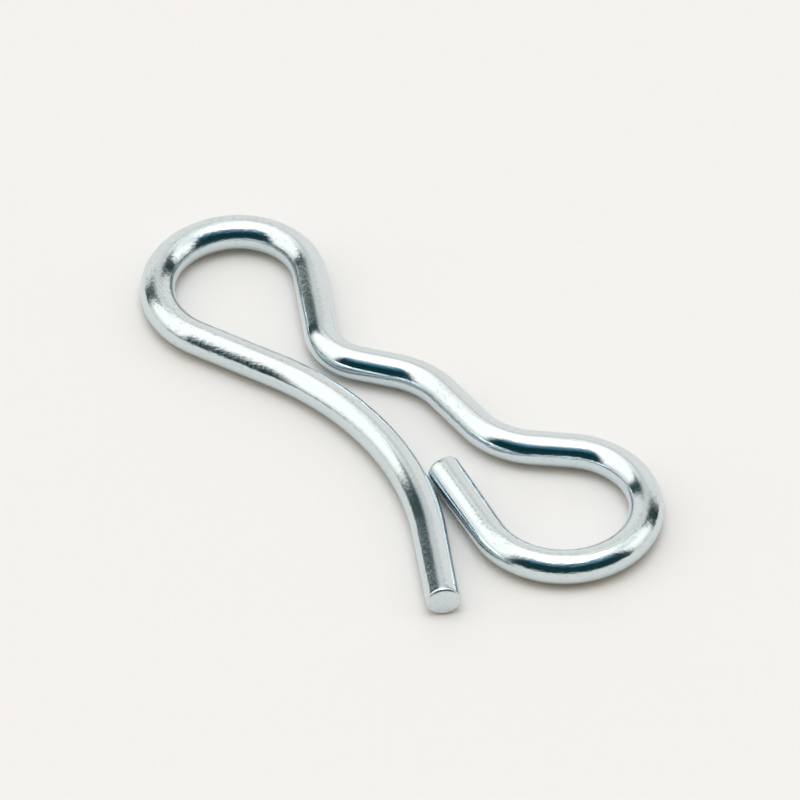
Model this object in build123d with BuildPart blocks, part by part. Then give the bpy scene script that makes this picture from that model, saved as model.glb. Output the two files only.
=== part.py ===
from build123d import *
import os

os.makedirs("parts", exist_ok=True)

# A bow tie cotter pin: one length of round spring wire, bent flat. The leg goes through a hole
# across a shaft, the hump seats on the outside of the shaft, and the small loop closes behind it.
# The pull ring, at -X, is what a finger or a hook takes hold of.
# The origin is on the shaft's axis, which is Z, level with the underside of the wire.
# Sizes are in millimetres and degrees. A heading is an angle from +X, counter-clockwise.

# Wire
wire_d = 2.0
end_round = 0.2

# The shaft that the pin locks, and the hump that seats on it
shaft_d = 8.0
seat_clearance = 0.1
seat_turn = 38.0
seat_heading = 28.0

# Leg: bowed where it crosses the shaft, then straight to its tip
leg_heading = -10.0
leg_bow_r = 18.0
bow_to_tip = 28.0
bow_to_ring = 23.5
tip_length = 5.8

# Pull ring: a wide bend on the leg's side and a tighter one on the neck's side
ring_leg_r = 4.7
ring_leg_turn = 147.0
ring_neck_r = 4.1
ring_exit_heading = -38.5

# Neck, between the pull ring and the hump
neck_r = 3.0
neck_length = 2.2

# Arm and dip, between the hump and the small loop
arm_length = 3.1
dip_r = 4.6
dip_turn = 47.5

# Small loop, whose cut end stops beside the leg
loop_r = 4.7
end_gap = 0.06
end_along_bow = 14.0
end_convergence = 4.5


def heading(angle):
    """Unit vector at an angle from +X."""
    return Vector(1, 0).rotate(Axis.Z, angle)


def left_of(angle):
    """Unit vector to the left of a heading."""
    return heading(angle + 90)


def bend_chord(start_heading, turn, radius):
    """Step from the start of a bend to its end. A turn to the right is negative."""
    to_centre = radius if turn > 0 else -radius
    return to_centre * (left_of(start_heading) - left_of(start_heading + turn))


def straights_beside(gap, first_heading, last_heading):
    """Lengths of the two straight runs that together make up the step across a gap."""
    first_side = left_of(first_heading)
    last_side = left_of(last_heading)
    first_length = gap.dot(last_side) / heading(first_heading).dot(last_side)
    last_length = gap.dot(first_side) / heading(last_heading).dot(first_side)
    return first_length, last_length


# The hump's centreline, concentric with the shaft
seat_r = shaft_d / 2 + seat_clearance + wire_d / 2
seat_start = seat_r * left_of(seat_heading)
arm_heading = seat_heading - seat_turn

# The neck bend, worked back from the hump
neck_turn = seat_heading - ring_exit_heading
neck_end = seat_start - neck_length * heading(seat_heading)
neck_start = neck_end - bend_chord(ring_exit_heading, neck_turn, neck_r)

# The pull ring, whose two straight sides take up what its bends leave between leg and neck
bow_end_heading = 180 + leg_heading + bow_to_ring
bow_end = bend_chord(180 + leg_heading, bow_to_ring, leg_bow_r)
ring_top_heading = bow_end_heading - ring_leg_turn
ring_neck_turn = ring_top_heading - ring_exit_heading
ring_chord = bend_chord(bow_end_heading, -ring_leg_turn, ring_leg_r)
ring_chord += bend_chord(ring_top_heading, -ring_neck_turn, ring_neck_r)
ring_leg_side, ring_neck_side = straights_beside(
    neck_start - bow_end - ring_chord, bow_end_heading, ring_exit_heading
)

# The small loop, whose end lies a wire's width and the gap away from the bowed leg
loop_entry_heading = arm_heading + dip_turn
arm_start = seat_r * left_of(arm_heading)
dip_start = arm_start + arm_length * heading(arm_heading)
dip_end = dip_start + bend_chord(arm_heading, dip_turn, dip_r)
bow_centre = -leg_bow_r * left_of(leg_heading)
end_beside_heading = leg_heading - end_along_bow
wire_end = bow_centre + (leg_bow_r + wire_d + end_gap) * left_of(end_beside_heading)
loop_exit_heading = end_beside_heading - 180 + end_convergence
loop_turn = loop_entry_heading - loop_exit_heading
loop_chord = bend_chord(loop_entry_heading, -loop_turn, loop_r)
loop_entry_side, loop_end_side = straights_beside(
    wire_end - dip_end - loop_chord, loop_entry_heading, loop_exit_heading
)

# Wire, bent to its centreline from the shaft's axis out to the leg's tip, and from there back
# round the pull ring, over the shaft and round the small loop to its other end
with BuildPart() as cotter_pin:
    with BuildLine(Plane.XY.offset(wire_d / 2)) as centreline:
        bow_tip_half = JernArc((0, 0), heading(leg_heading), leg_bow_r, -bow_to_tip)
        tip = Line(bow_tip_half @ 1, bow_tip_half @ 1 + tip_length * (bow_tip_half % 1))
        bow_ring_half = JernArc((0, 0), -heading(leg_heading), leg_bow_r, bow_to_ring)
        ring_side = Line(bow_ring_half @ 1, bow_ring_half @ 1 + ring_leg_side * (bow_ring_half % 1))
        ring_wide = JernArc(ring_side @ 1, ring_side % 1, ring_leg_r, -ring_leg_turn)
        ring_tight = JernArc(ring_wide @ 1, ring_wide % 1, ring_neck_r, -ring_neck_turn)
        neck_side = Line(ring_tight @ 1, ring_tight @ 1 + ring_neck_side * (ring_tight % 1))
        neck = JernArc(neck_side @ 1, neck_side % 1, neck_r, neck_turn)
        neck_run = Line(neck @ 1, neck @ 1 + neck_length * (neck % 1))
        hump = JernArc(neck_run @ 1, neck_run % 1, seat_r, -seat_turn)
        arm = Line(hump @ 1, hump @ 1 + arm_length * (hump % 1))
        dip = JernArc(arm @ 1, arm % 1, dip_r, dip_turn)
        loop_entry = Line(dip @ 1, dip @ 1 + loop_entry_side * (dip % 1))
        small_loop = JernArc(loop_entry @ 1, loop_entry % 1, loop_r, -loop_turn)
        loop_end = Line(small_loop @ 1, small_loop @ 1 + loop_end_side * (small_loop % 1))
    with BuildSketch(Plane(origin=loop_end @ 1, z_dir=loop_end % 1)) as section:
        Circle(wire_d / 2)
    sweep(path=centreline.line)
    # Each cut end has its rim rolled over a little
    cut_faces = faces().filter_by(GeomType.PLANE)
    fillet(cut_faces.edges(), end_round)

cotter_pin.part.label = "cotter_pin"
export_step(cotter_pin.part, "parts/cotter_pin.step")
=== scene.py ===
import math

import bpy
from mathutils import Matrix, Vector


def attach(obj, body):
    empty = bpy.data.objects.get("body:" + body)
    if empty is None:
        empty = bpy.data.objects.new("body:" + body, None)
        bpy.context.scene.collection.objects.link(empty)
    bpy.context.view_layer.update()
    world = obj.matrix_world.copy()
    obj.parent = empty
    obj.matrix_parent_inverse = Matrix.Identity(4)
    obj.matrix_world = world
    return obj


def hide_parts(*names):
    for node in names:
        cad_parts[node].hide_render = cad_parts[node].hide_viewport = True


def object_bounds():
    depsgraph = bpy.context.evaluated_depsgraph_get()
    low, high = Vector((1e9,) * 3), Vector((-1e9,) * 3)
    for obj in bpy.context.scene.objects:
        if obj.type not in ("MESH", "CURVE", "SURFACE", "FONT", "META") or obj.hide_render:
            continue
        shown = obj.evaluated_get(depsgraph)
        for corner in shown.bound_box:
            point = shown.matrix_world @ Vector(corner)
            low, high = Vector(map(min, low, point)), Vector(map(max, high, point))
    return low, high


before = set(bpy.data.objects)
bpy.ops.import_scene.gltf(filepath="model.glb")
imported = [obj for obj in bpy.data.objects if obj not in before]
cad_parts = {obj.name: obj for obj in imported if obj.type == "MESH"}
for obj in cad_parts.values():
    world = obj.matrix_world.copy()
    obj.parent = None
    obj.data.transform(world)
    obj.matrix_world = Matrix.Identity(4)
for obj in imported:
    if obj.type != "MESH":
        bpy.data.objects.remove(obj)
cad_low, cad_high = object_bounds()

# ---- The wire ----
# One length of round spring wire, cold bent flat round pegs into a leg, a pull ring, a hump and a
# small loop. It was drawn through a die, cropped at both ends, tumbled and then zinc plated.

MM = 0.001
WIRE_R = 1.0
END_ROUND = 0.2
FACE_CROWN = 0.03

# How finely the mesh follows the wire, the rolled rims and the cropped faces
STEP = 0.12
SIDES = 48
RIM_RINGS = 6
FACE_RINGS = 8
FACE_SPACING = 0.9

# Each bend is the straight run before it, its radius and its turn, left turns being positive.
# Both lists start where the leg crosses the shaft's axis.
LEG_HEADING = -10.0
TO_LEG_TIP = [(0.0, 18.0, -28.0)]
TIP_RUN = 5.8
TO_LOOP_END = [
    (0.0, 18.0, 23.5),
    (5.20, 4.7, -147.0),
    (0.0, 4.1, -85.0),
    (4.79, 3.0, 66.5),
    (2.2, 5.1, -38.0),
    (3.1, 4.6, 47.5),
    (2.303, 4.7, -237.0),
]
LOOP_END_RUN = 5.966


def left_of(heading):
    """Unit vector to the left of a heading."""
    return Vector((-math.sin(heading), math.cos(heading), 0.0))


def ahead(heading):
    """Unit vector along a heading."""
    return Vector((math.cos(heading), math.sin(heading), 0.0))


def bend_wire(heading, bends, last_run):
    """The centreline from the shaft's axis: each stop is a point, its heading and its distance."""
    heading = math.radians(heading)
    point = Vector((0.0, 0.0, WIRE_R))
    gone = 0.0
    stops = [(point.copy(), heading, gone)]
    # The last run has no bend after it
    for run, radius, turn in bends + [(last_run, 1.0, 0.0)]:
        pieces = max(1, round(run / STEP))
        for _ in range(pieces if run else 0):
            point = point + ahead(heading) * (run / pieces)
            gone += run / pieces
            stops.append((point.copy(), heading, gone))
        turn = math.radians(turn)
        reach = math.copysign(radius, turn)
        centre = point + left_of(heading) * reach
        start = heading
        pieces = math.ceil(radius * abs(turn) / STEP)
        for i in range(pieces):
            heading = start + turn * (i + 1) / pieces
            point = centre - left_of(heading) * reach
            gone += radius * abs(turn) / pieces
            stops.append((point.copy(), heading, gone))
    return stops


def shorten(stops, length):
    """Takes a length off the end of a straight last run, to leave room for the rolled rim."""
    end, heading, gone = stops[-1]
    kept = [s for s in stops if s[2] < gone - length - STEP / 2]
    kept.append((end - ahead(heading) * length, heading, gone - length))
    return kept


def end_rings(end, outwards, gone, sign):
    """Rings that roll over the rim of a cropped end and close across its face."""
    rings = []
    for i in range(1, RIM_RINGS + 1):
        turn = math.radians(90 * i / RIM_RINGS)
        out = END_ROUND * math.sin(turn)
        radius = WIRE_R - END_ROUND * (1 - math.cos(turn))
        rings.append((end + outwards * out, radius, gone + sign * out))
    face = rings[-1]
    for i in range(1, FACE_RINGS + 1):
        radius = (WIRE_R - END_ROUND) * (1 - i / (FACE_RINGS + 1)) ** FACE_SPACING
        crown = FACE_CROWN * (1 - (radius / WIRE_R) ** 2)
        rings.append((face[0] + outwards * crown, radius, gone + sign * (END_ROUND + crown)))
    return rings


to_tip = shorten(bend_wire(LEG_HEADING, TO_LEG_TIP, TIP_RUN), END_ROUND)
to_end = shorten(bend_wire(LEG_HEADING + 180.0, TO_LOOP_END, LOOP_END_RUN), END_ROUND)

tip_point, tip_heading, tip_gone = to_tip[-1]
end_point, end_heading, end_gone = to_end[-1]
rings = []
for point, radius, gone in reversed(end_rings(tip_point, ahead(tip_heading), -tip_gone, -1)):
    rings.append((point, tip_heading + math.pi, radius, gone))
for point, heading, gone in reversed(to_tip):
    rings.append((point, heading + math.pi, WIRE_R, -gone))
for point, heading, gone in to_end[1:]:
    rings.append((point, heading, WIRE_R, gone))
for point, radius, gone in end_rings(end_point, ahead(end_heading), end_gone, 1):
    rings.append((point, end_heading, radius, gone))

verts = []
straightened = []
for point, heading, radius, gone in rings:
    side = left_of(heading)
    for i in range(SIDES):
        around = math.tau * i / SIDES
        across = radius * math.cos(around)
        lift = radius * math.sin(around)
        verts.append((point + side * across + Vector((0.0, 0.0, lift))) * MM)
        straightened.append((gone, across, lift))
faces = []
for row in range(len(rings) - 1):
    for i in range(SIDES):
        here = row * SIDES + i
        beside = row * SIDES + (i + 1) % SIDES
        faces.append((here, beside, beside + SIDES, here + SIDES))

# A fan closes the middle of each cropped face
for row, way in ((0, -1), (len(rings) - 1, 1)):
    face_centre = len(verts)
    verts.append(rings[row][0] * MM)
    straightened.append((rings[row][3], 0.0, 0.0))
    for i in range(SIDES):
        pair = [row * SIDES + i, row * SIDES + (i + 1) % SIDES]
        faces.append((*pair[::way], face_centre))

pin_mesh = bpy.data.meshes.new("cotter_pin_wire")
pin_mesh.from_pydata(verts, [], faces)
pin_mesh.shade_smooth()
# Where each point was before the wire was bent, in millimetres: along, across and up
before_bending = pin_mesh.attributes.new("straightened", "FLOAT_VECTOR", "POINT")
for stored, straight_point in zip(before_bending.data, straightened):
    stored.vector = straight_point
pin = bpy.data.objects.new("cotter_pin_wire", pin_mesh)
bpy.context.scene.collection.objects.link(pin)


# ---- The zinc plating ----
# A thin bright electroplated coat over the drawn wire. It keeps the fine lines that the die drew
# along the wire, and has the faint pebbling that tumbling and plating leave.

BRIGHT_ZINC = (0.72, 0.79, 0.825, 1)
GREY_ZINC = (0.67, 0.75, 0.785, 1)
DULL_ZINC = (0.54, 0.615, 0.645, 1)
LINE_ZINC = (0.38, 0.43, 0.46, 1)
RELIEF = 0.004 * MM


class Shade:
    """A value in a node tree. Sums on it add Math nodes, and node() adds any other node."""

    def __init__(self, tree, socket=None):
        self.tree = tree
        self.socket = socket

    def node(self, kind, settings=None, sockets=None, output=0):
        made = self.tree.nodes.new(kind)
        for name, setting in (settings or {}).items():
            setattr(made, name, setting)
        for name, value in (sockets or {}).items():
            if isinstance(value, Shade):
                self.tree.links.new(value.socket, made.inputs[name])
            else:
                made.inputs[name].default_value = value
        return Shade(self.tree, made.outputs[output] if made.outputs else None)

    def maths(self, operation, *values):
        return self.node("ShaderNodeMath", {"operation": operation}, dict(enumerate(values)))

    def __add__(self, other):
        return self.maths("ADD", self, other)

    def __radd__(self, other):
        return self.maths("ADD", other, self)

    def __sub__(self, other):
        return self.maths("SUBTRACT", self, other)

    def __rsub__(self, other):
        return self.maths("SUBTRACT", other, self)

    def __mul__(self, other):
        return self.maths("MULTIPLY", self, other)

    def __rmul__(self, other):
        return self.maths("MULTIPLY", other, self)

    def __truediv__(self, other):
        return self.maths("DIVIDE", self, other)

    def __pow__(self, other):
        return self.maths("POWER", self, other)

    def __abs__(self):
        return self.maths("ABSOLUTE", self)

    def ease(self, start, end):
        """0 at start and 1 at end, with a smooth change between them."""
        span = {"Value": self, "From Min": start, "From Max": end}
        return self.node("ShaderNodeMapRange", {"interpolation_type": "SMOOTHSTEP"}, span)


def mixed(factor, first, second):
    """A colour part of the way from the first to the second."""
    return factor.node("ShaderNodeMix", {"data_type": "RGBA"}, {0: factor, 6: first, 7: second}, 2)


def pattern(spot, stretch, detail=2.0, roughness=0.5):
    """Noise whose grains per millimetre are given along, across and up the straightened wire."""
    scaled = spot.node("ShaderNodeVectorMath", {"operation": "MULTIPLY"}, {0: spot, 1: stretch})
    grain = {"Vector": scaled, "Scale": 1.0, "Detail": detail, "Roughness": roughness}
    return spot.node("ShaderNodeTexNoise", {}, grain, "Fac")


zinc = bpy.data.materials.new("zinc_plated_wire")
zinc.use_nodes = True
zinc.node_tree.nodes.clear()
coat = Shade(zinc.node_tree)
spot = coat.node("ShaderNodeAttribute", {"attribute_name": "straightened"}, {}, "Vector")
along = coat.node("ShaderNodeSeparateXYZ", {}, {0: spot}, "X")
draw_lines = pattern(spot, (0.10, 9.0, 9.0), 3.0, 0.6)
pebbling = pattern(spot, (3.4, 6.5, 6.5), 2.0, 0.6)
waves = pattern(spot, (0.35, 0.9, 0.9), 1.0)
scuffs = pattern(spot, (2.5, 6.0, 6.0), 4.0, 0.7)
patches = pattern(spot, (0.13, 0.45, 0.45), 1.0).ease(0.36, 0.56)
deep_lines = draw_lines.ease(0.66, 0.74)

# The rolled rims and the cropped faces, by their distance from the middle of the wire
half_length = (end_gone + tip_gone) / 2
from_middle = abs(along - (end_gone - tip_gone) / 2)
cut = from_middle.ease(half_length - 0.05, half_length + 0.12)

height = 0.4 * draw_lines + (1.1 + 2.2 * patches + 1.8 * cut) * pebbling + 2.4 * waves
bumps = coat.node("ShaderNodeBump", {}, {"Strength": 1.0, "Distance": RELIEF, "Height": height})
colour = mixed(scuffs.ease(0.35, 0.75), GREY_ZINC, BRIGHT_ZINC)
colour = mixed(patches * scuffs.ease(0.52, 0.68), colour, DULL_ZINC)
colour = mixed(deep_lines, colour, LINE_ZINC)
roughness = 0.095 + 0.08 * scuffs.ease(0.5, 0.8) + 0.10 * deep_lines + 0.05 * patches + 0.16 * cut
plating = coat.node(
    "ShaderNodeBsdfPrincipled",
    {},
    {"Base Color": colour, "Metallic": 1.0, "Roughness": roughness, "Normal": bumps},
)
coat.node("ShaderNodeOutputMaterial", {}, {"Surface": plating})
pin_mesh.materials.append(zinc)

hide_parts("cotter_pin")
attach(pin, "root")


# ---- The floor ----
# A round sheet of plain pale paper, level with the underside of the wire. The pin lies on it, and
# it is not part of the pin.

FLOOR_R = 0.9
FLOOR_SIDES = 96
FLOOR_COLOUR = (0.815, 0.813, 0.812, 1)

pin_middle = (cad_low + cad_high) / 2
floor_verts = [(pin_middle.x, pin_middle.y, cad_low.z)]
for i in range(FLOOR_SIDES):
    edge = ahead(math.tau * i / FLOOR_SIDES) * FLOOR_R
    floor_verts.append((pin_middle.x + edge.x, pin_middle.y + edge.y, cad_low.z))
floor_faces = [(0, 1 + i, 1 + (i + 1) % FLOOR_SIDES) for i in range(FLOOR_SIDES)]
floor_mesh = bpy.data.meshes.new("floor")
floor_mesh.from_pydata(floor_verts, [], floor_faces)
floor = bpy.data.objects.new("floor", floor_mesh)
bpy.context.scene.collection.objects.link(floor)
paper = bpy.data.materials.new("pale_paper")
paper.use_nodes = True
paper.node_tree.nodes.clear()
sheet = Shade(paper.node_tree)
matt = sheet.node("ShaderNodeBsdfDiffuse", {}, {"Color": FLOOR_COLOUR})
sheet.node("ShaderNodeOutputMaterial", {}, {"Surface": matt})
floor_mesh.materials.append(paper)


# ---- The studio ----
# A big soft light overhead and one at each side, a pale backdrop, and the dark room behind the
# camera. Directions are a bearing from straight ahead of the camera and a height above the floor.

CAMERA_AZIMUTH = math.radians(43.8)
CAMERA_HEIGHT = math.radians(44.49)
DEGREES = 180 / math.pi

studio = bpy.data.worlds.new("studio")
studio.use_nodes = True
studio.node_tree.nodes.clear()
bpy.context.scene.world = studio
room = Shade(studio.node_tree)
direction = room.node("ShaderNodeTexCoord", {}, {}, "Generated")
east = direction.node("ShaderNodeSeparateXYZ", {}, {0: direction}, "X")
north = direction.node("ShaderNodeSeparateXYZ", {}, {0: direction}, "Y")
up = direction.node("ShaderNodeSeparateXYZ", {}, {0: direction}, "Z")
rightwards = math.cos(CAMERA_AZIMUTH) * east + math.sin(CAMERA_AZIMUTH) * north
away = math.cos(CAMERA_AZIMUTH) * north - math.sin(CAMERA_AZIMUTH) * east
bearing = DEGREES * room.maths("ARCTAN2", rightwards, away)
sideways = abs(bearing)
elevation = DEGREES * room.maths("ARCSINE", up)

# The dark frame of the backdrop arches over it, and is blacker on the right. The arch is 1 level
# with the floor at FRAME_SIDE degrees to either side, and FRAME_TOP degrees up straight ahead.
FRAME_SIDE = 64
FRAME_TOP = 57
over = room.maths("MAXIMUM", elevation, 0.0) / FRAME_TOP
arch = (sideways / FRAME_SIDE) ** 2 + over * over
on_right = bearing.ease(-5, 5)
backdrop = (0.95, 0.91, 0.86, 1)
frame_left = (0.04, 0.072, 0.076, 1)
frame_right = (0.010, 0.035, 0.038, 1)
frame_edge = mixed(on_right, frame_left, frame_right)
soft_light = (1.40, 1.35, 1.27, 1)
side_light_foot = (0.80, 0.77, 0.73, 1)
side_light = mixed(elevation.ease(0, 30), side_light_foot, soft_light)
sky = mixed(arch.ease(0.49, 0.76), backdrop, frame_edge)
sky = mixed((arch - 0.14 * on_right).ease(0.98, 1.28), sky, side_light)

# Between the right-hand light and the overhead one the light is weaker
haze = (1.03, 1.06, 1.02, 1)
sky = mixed(on_right * sideways.ease(50, 70) * elevation.ease(42, 52), sky, haze)

# Behind the camera the plating mirrors a dark room, bluer towards the overhead light, and a weak
# warm lamp there, which it does not mirror, fills the shadows
dark_wall = (0.002, 0.034, 0.044, 1)
dark_above = (0.06, 0.18, 0.26, 1)
dark_by_floor = (0.04, 0.08, 0.07, 1)
warm_lamp = (0.42, 0.31, 0.15, 1)
grey_ceiling = (0.65, 0.73, 0.78, 1)
mirrored = room.node("ShaderNodeLightPath", {}, {}, "Is Glossy Ray")
dark = mixed(elevation.ease(40, 52), dark_wall, dark_above)
dark = mixed(elevation.ease(10, -2), dark, dark_by_floor)
dark = mixed(mirrored, warm_lamp, dark)
dark = mixed(elevation.ease(52, 68), dark, grey_ceiling)
behind = on_right * sideways.ease(98, 111) + (1 - on_right) * sideways.ease(113, 127)
low_gap = (1 - on_right) * elevation.ease(9, 3) * sideways.ease(86, 112)
gap_grey = (0.16, 0.22, 0.24, 1)
sky = mixed(low_gap, sky, gap_grey)
sky = mixed(behind, sky, dark)

# The overhead light reaches down over the middle of the backdrop, and is strongest straight up
near_top = mixed(on_right * elevation.ease(78, 60), soft_light, haze)
over_backdrop = (1.06, 1.03, 0.98, 1)
straight_up = (3.75, 3.95, 4.20, 1)
sky = mixed(elevation.ease(40, 52) * (1 - sideways.ease(26, 50)), sky, over_backdrop)
sky = mixed(elevation.ease(50, 60) * (1 - sideways.ease(95, 125)), sky, near_top)
sky = mixed(elevation.ease(62, 76), sky, soft_light)
sky = mixed(elevation.ease(66, 78), sky, straight_up)
lit = room.node("ShaderNodeBackground", {}, {"Color": sky, "Strength": 1.0})
paper_look = (0.913, 0.896, 0.863, 1)
plain = room.node("ShaderNodeBackground", {}, {"Color": paper_look, "Strength": 1.0})
seen = room.node("ShaderNodeLightPath", {}, {}, "Is Camera Ray")
shown = room.node("ShaderNodeMixShader", {}, {0: seen, 1: lit, 2: plain})
room.node("ShaderNodeOutputWorld", {}, {"Surface": shown})


# ---- The camera ----
# A long lens, so that the wire keeps its true proportions. It is aimed a little behind the middle
# of the pin and to the right of it.

CAMERA_LENS = 1085.8
CAMERA_DISTANCE = 1.3775
AIM_X = -0.65 * MM
AIM_Y = 3.23 * MM

camera_data = bpy.data.cameras.new("camera")
camera_data.sensor_width = 36.0
camera_data.lens = CAMERA_LENS
camera_data.clip_start = 0.05
camera_data.clip_end = 10.0
camera = bpy.data.objects.new("camera", camera_data)
bpy.context.scene.collection.objects.link(camera)
aim = Vector((pin_middle.x + AIM_X, pin_middle.y + AIM_Y, cad_low.z))
back = Vector((
    math.sin(CAMERA_AZIMUTH) * math.cos(CAMERA_HEIGHT),
    -math.cos(CAMERA_AZIMUTH) * math.cos(CAMERA_HEIGHT),
    math.sin(CAMERA_HEIGHT),
))
camera.location = aim + back * CAMERA_DISTANCE
camera.rotation_euler = back.to_track_quat("Z", "Y").to_euler()
bpy.context.scene.camera = camera
bpy.context.scene.view_settings.view_transform = "Standard"
